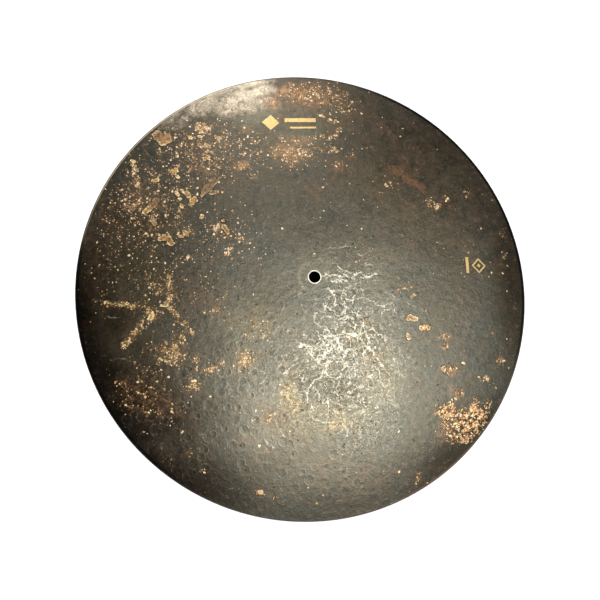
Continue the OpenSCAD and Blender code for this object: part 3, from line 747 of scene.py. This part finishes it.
    # copper where the skin has flaked away: chunks parted by dark cracks, their bright lips partly painted highlights
    cop_field = g.field("copper")
    torn = g.add(g.mul(g.sub(g.noise(p, 6.0, 5, 0.66, 1.2, 180), 0.5), 1.6), g.add(g.mul(g.sub(seed, 0.5), 0.70), g.mul(cop_field, 0.24)))
    area = g.mul(g.step(torn, 0.150, 0.195), g.step(cop_field, 0.08, 0.40))
    around_it = g.mul(g.step(torn, 0.02, 0.13), g.step(cop_field, 0.05, 0.40))
    seam = g.math("ABSOLUTE", g.sub(g.noise(p, 4.6, 4, 0.62, 1.0, 188), 0.5))
    colour = g.mix(g.mul(around_it, 0.74), colour, rgb(52, 40, 29))
    cop = g.mul(area, g.step(seam, 0.014, 0.042, 0.04, 1.0))
    lips_and_painted_highlights = g.mul(g.step(seam, 0.095, 0.050), g.step(g.noise(p, 3.6, 3, 0.6, 0, 196), 0.40, 0.60))
    lift = g.add(g.add(g.mul(lips_and_painted_highlights, 0.42), 0.25), g.add(g.mul(g.sub(seed, 0.5), 1.9), g.mul(g.sub(warm, 0.5), 1.5)))
    cop_colour = g.ramp(lift, (0.0, rgb(112, 74, 44)), (0.30, rgb(188, 136, 84)), (0.58, rgb(232, 190, 128)), (0.86, rgb(255, 242, 208)))
    colour = g.mix(cop, colour, cop_colour)

    # plain gold printing: a lozenge with two rules, and a small lozenge outline beside a bar
    level = g.sub(v, g.mul(u, 0.06))
    ink = g.top(diamond_mask(g, u, v, -45, 177, 9.6), box_mask(g, u, level, -12, 182.4, 17.5, 2.5))
    ink = g.top(ink, box_mask(g, u, level, -9, 172.6, 14.5, 1.1))
    outline = g.sub(diamond_mask(g, u, v, 185, 18, 8.6), diamond_mask(g, u, v, 185, 18, 6.4))
    ink = g.top(ink, g.top(g.top(outline, diamond_mask(g, u, v, 185, 18, 2.4)), box_mask(g, u, v, 171, 18, 1.7, 9.0)))
    ink = g.mul(ink, g.step(g.noise(p, 1.5, 3, 0.6, 0, 220), 0.34, 0.46, 0.30, 1.0))
    colour = g.mix(g.mul(ink, 0.92), colour, rgb(214, 180, 110))

    # felt wear beside the hole, a thin bare ring at its mouth, and the rim: dark, pale on one side, brown on the other
    felt = g.mul(g.mul(g.step(g.math("ABSOLUTE", g.sub(r, 16.0)), 2.8, 0.2), g.step(grain, 0.42, 0.60, 0.2, 1.0)), g.step(g.add(g.math("DIVIDE", u, r), g.mul(g.sub(mott, 0.5), 1.6)), -0.15, -0.75))
    colour = g.mix(g.mul(felt, 0.36), colour, rgb(160, 146, 122))
    mouth = g.mul(g.step(g.math("ABSOLUTE", g.sub(r, 6.6)), 0.62, 0.24), g.step(fine, 0.30, 0.5, 0.55, 1.0))
    colour = g.mix(g.mul(mouth, 0.84), colour, rgb(226, 221, 200))
    # painted shade: a dark band at the hole's edge, where the hole's shadow falls
    colour = g.mix(g.step(r, 6.25, 6.02), colour, rgb(26, 23, 18))
    right = g.math("DIVIDE", g.vec("DOT_PRODUCT", p, (0.906, 0.423, 0.0)), r)
    left = g.math("DIVIDE", g.vec("DOT_PRODUCT", p, (-0.906, -0.423, 0.0)), r)
    # a darker band at the rim on the right and lower-left sides
    dark_rim_sides = g.top(g.step(right, 0.56, 0.80), g.step(left, 0.80, 0.92))
    colour = g.mix(g.mul(g.step(r, 238.4, 239.8), 0.30), colour, rgb(30, 23, 16))
    colour = g.mix(g.mul(g.mul(g.step(r, 236.6, 238.8), dark_rim_sides), 0.97), colour, rgb(9, 6, 3))
    upper_left = g.math("DIVIDE", g.vec("DOT_PRODUCT", p, (-0.70, 0.714, 0.0)), r)
    lower_right = g.math("DIVIDE", g.vec("DOT_PRODUCT", p, (0.73, -0.683, 0.0)), r)
    pale_rim = g.mul(g.step(r, 238.9, 240.0), g.step(g.add(upper_left, g.mul(g.sub(cloud, 0.5), 0.3)), 0.78, 0.96))
    colour = g.mix(g.mul(pale_rim, 0.8), colour, rgb(200, 184, 146))
    brown_rim = g.mul(g.step(r, 238.6, 239.8), g.step(g.add(lower_right, g.mul(g.sub(cloud, 0.5), 0.3)), 0.80, 0.96))
    colour = g.mix(g.mul(brown_rim, 0.60), colour, rgb(80, 62, 47))

    bare = g.top(g.top(flecks, cop), g.top(flake, g.top(ink, g.top(g.mul(pale_rim, 0.6), g.mul(g.top(haze_and_painted_highlight, soft), 0.6)))))
    metal = g.sub(0.93, g.mul(g.top(bare, g.top(g.mul(veins, 0.35), g.top(g.mul(clump, 0.35), g.mul(rust, 0.25)))), 0.62))
    rough = g.step(blot, 0.3, 0.7, 0.40, 0.48, "LINEAR")
    rough = g.add(rough, g.step(fine, 0.3, 0.7, -0.05, 0.05, "LINEAR"))
    rough = g.sub(rough, g.mul(bare, 0.05))
    # relief in mm
    height = g.add(g.mul(fine, 0.20), g.mul(grain, g.add(g.mul(grit, 0.08), 0.05)))
    height = g.add(height, g.mul(mott, 0.30))
    height = g.add(height, g.sub(g.mul(lip, 0.055), g.mul(dish_and_painted_shade, 0.15)))
    height = g.add(height, g.sub(g.mul(veins, 0.07), g.mul(pits, 0.10)))
    height = g.add(height, g.mul(g.mul(g.step(d1, 0.2, 2.8), g.step(vein, 0.0, 0.8)), 0.16))
    height = g.sub(height, g.mul(g.top(cop, g.top(chunks, flake)), 0.05))
    return g.finish(colour, rough, metal, height, 1.0)


# ---------------------------------------------------------------- underside and edges
def underside():
    g = Nodes("patina_underside")
    p = plane_mm(g)
    blot = g.noise(p, 24, 5, 0.62, 0.5, 410)
    fine = g.noise(p, 3, 4, 0.65, 0, 431)
    grain = g.noise(p, 0.8, 2, 0.6, 0, 457)
    colour = g.mix(g.step(blot, 0.36, 0.64), rgb(64, 56, 44), rgb(92, 76, 52))
    colour = g.scale(colour, g.mul(g.step(fine, 0.3, 0.7, 0.8, 1.2, "LINEAR"), g.step(grain, 0.3, 0.7, 0.9, 1.1, "LINEAR")))
    bare = g.step(g.add(g.noise(p, 2.4, 4, 0.62, 0.6, 440), g.mul(g.step(g.noise(p, 40, 3, 0.6, 0, 470), 0.42, 0.68), 0.14)), 0.70, 0.76)
    colour = g.mix(bare, colour, rgb(196, 148, 86))
    rough = g.add(g.step(blot, 0.3, 0.7, 0.40, 0.52, "LINEAR"), g.step(fine, 0.3, 0.7, -0.05, 0.05, "LINEAR"))
    height = g.add(g.mul(fine, 0.25), g.mul(grain, 0.1))
    return g.finish(colour, rough, g.step(bare, 0.0, 1.0, 0.15, 0.6), height, 0.16)


def edges():
    g = Nodes("dark_edge")
    o = g.new("ShaderNodeTexCoord").outputs["Object"]
    p = g.vec("MULTIPLY", o, (1000.0, 1000.0, 1000.0))
    long = g.noise(p, 30, 4, 0.6, 0, 41)
    fine = g.noise(p, 1.6, 3, 0.6, 0, 17)
    colour = g.mix(g.step(long, 0.42, 0.62), rgb(20, 15, 10), rgb(58, 43, 31))
    colour = g.scale(colour, g.step(fine, 0.3, 0.7, 0.72, 1.25, "LINEAR"))
    far = g.vec("LENGTH", g.vec("MULTIPLY", p, (1.0, 1.0, 0.0)))
    right = g.math("DIVIDE", g.vec("DOT_PRODUCT", p, (0.906, 0.423, 0.0)), far)
    left = g.math("DIVIDE", g.vec("DOT_PRODUCT", p, (-0.906, -0.423, 0.0)), far)
    # darker still on the right and lower-left sides
    colour = g.mix(g.mul(g.top(g.step(right, 0.56, 0.80), g.step(left, 0.80, 0.92)), 0.8), colour, rgb(9, 6, 3))
    rough = g.step(fine, 0.3, 0.7, 0.46, 0.60, "LINEAR")
    return g.finish(colour, rough, g.step(long, 0.42, 0.62, 0.2, 0.6), fine, 0.05)


for m in (playing_side(), underside(), edges()):
    me.materials.append(m)
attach(disc, "root")
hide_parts("cymbal")

# ---------------------------------------------------------------- floor, light and camera
fm = bpy.data.meshes.new("floor")
fm.from_pydata([(-6, -6, -0.0006), (6, -6, -0.0006), (6, 6, -0.0006), (-6, 6, -0.0006)], [], [(0, 1, 2, 3)])
floor = bpy.data.objects.new("floor", fm)
scene.collection.objects.link(floor)
fg = Nodes("floor_paint")
fb = fg.new("ShaderNodeBsdfPrincipled")
fb.inputs["Base Color"].default_value = (0.92, 0.92, 0.925, 1)
fb.inputs["Roughness"].default_value = 0.9
fb.inputs["Specular IOR Level"].default_value = 0.0
fg.t.links.new(fb.outputs[0], fg.new("ShaderNodeOutputMaterial").inputs[0])
fm.materials.append(fg.mat)

# a small black pad on the floor under the hole: painted shade standing in for the dark under the bow, so that no lit
# floor shows through the hole
shade_pad_mesh = bpy.data.meshes.new("painted_shade_pad")
ring16 = [(0.05 * math.cos(k * math.pi / 16), 0.05 * math.sin(k * math.pi / 16), -0.0003) for k in range(32)]
shade_pad_mesh.from_pydata(ring16, [], [tuple(range(32))])
shade_pad = bpy.data.objects.new("painted_shade_pad", shade_pad_mesh)
scene.collection.objects.link(shade_pad)
pg = Nodes("painted_shade_black")
pb = pg.new("ShaderNodeBsdfPrincipled")
pb.inputs["Base Color"].default_value = (0.002, 0.002, 0.002, 1)
pb.inputs["Roughness"].default_value = 1.0
pb.inputs["Specular IOR Level"].default_value = 0.0
pg.t.links.new(pb.outputs[0], pg.new("ShaderNodeOutputMaterial").inputs[0])
shade_pad_mesh.materials.append(pg.mat)


def sun(name, toward, angle, strength):
    light = bpy.data.lights.new(name, "SUN")
    light.energy, light.angle = strength, math.radians(angle)
    o = bpy.data.objects.new(name, light)
    o.rotation_mode = "QUATERNION"
    o.rotation_quaternion = Vector(toward).to_track_quat("Z", "Y")
    scene.collection.objects.link(o)


sun("key", (0.232, -0.148, 0.955), 34, 3.55)
sun("window", (-0.07, 0.77, 0.62), 14, 1.1)

world = bpy.data.worlds.new("studio")
scene.world = world
world.use_nodes = True
wt = world.node_tree
wt.nodes.clear()
# pale walls low down, a dark ceiling above: what the metal mirrors
seen, fill = wt.nodes.new("ShaderNodeBackground"), wt.nodes.new("ShaderNodeBackground")
seen.inputs[0].default_value, seen.inputs[1].default_value = (0.97, 0.97, 0.975, 1), 1.0
fill.inputs[0].default_value = (1.0, 1.0, 1.0, 1)
height = wt.nodes.new("ShaderNodeSeparateXYZ")
wt.links.new(wt.nodes.new("ShaderNodeTexCoord").outputs["Generated"], height.inputs[0])
wall = wt.nodes.new("ShaderNodeMapRange")
wall.interpolation_type = "SMOOTHSTEP"
for k, value in zip((1, 2, 3, 4), (0.20, 0.55, 0.60, 0.05)):
    wall.inputs[k].default_value = value
wt.links.new(height.outputs["Z"], wall.inputs[0])
wt.links.new(wall.outputs[0], fill.inputs[1])
pick = wt.nodes.new("ShaderNodeMixShader")
wt.links.new(wt.nodes.new("ShaderNodeLightPath").outputs["Is Camera Ray"], pick.inputs[0])
wt.links.new(fill.outputs[0], pick.inputs[1])
wt.links.new(seen.outputs[0], pick.inputs[2])
wt.links.new(pick.outputs[0], wt.nodes.new("ShaderNodeOutputWorld").inputs[0])

cam_data = bpy.data.cameras.new("camera")
cam_data.sensor_width, cam_data.lens = 36.0, 26.956
cam = bpy.data.objects.new("camera", cam_data)
right = Vector((0.993779, -0.009556, 0.110962))
up = Vector((-0.009556, 0.985321, 0.170442))
back = Vector((-0.110962, -0.170442, 0.979100))
cam.matrix_world = Matrix.Translation((-0.066096, -0.102200, 0.466595)) @ Matrix((right, up, back)).transposed().to_4x4()
scene.collection.objects.link(cam)
scene.camera = cam
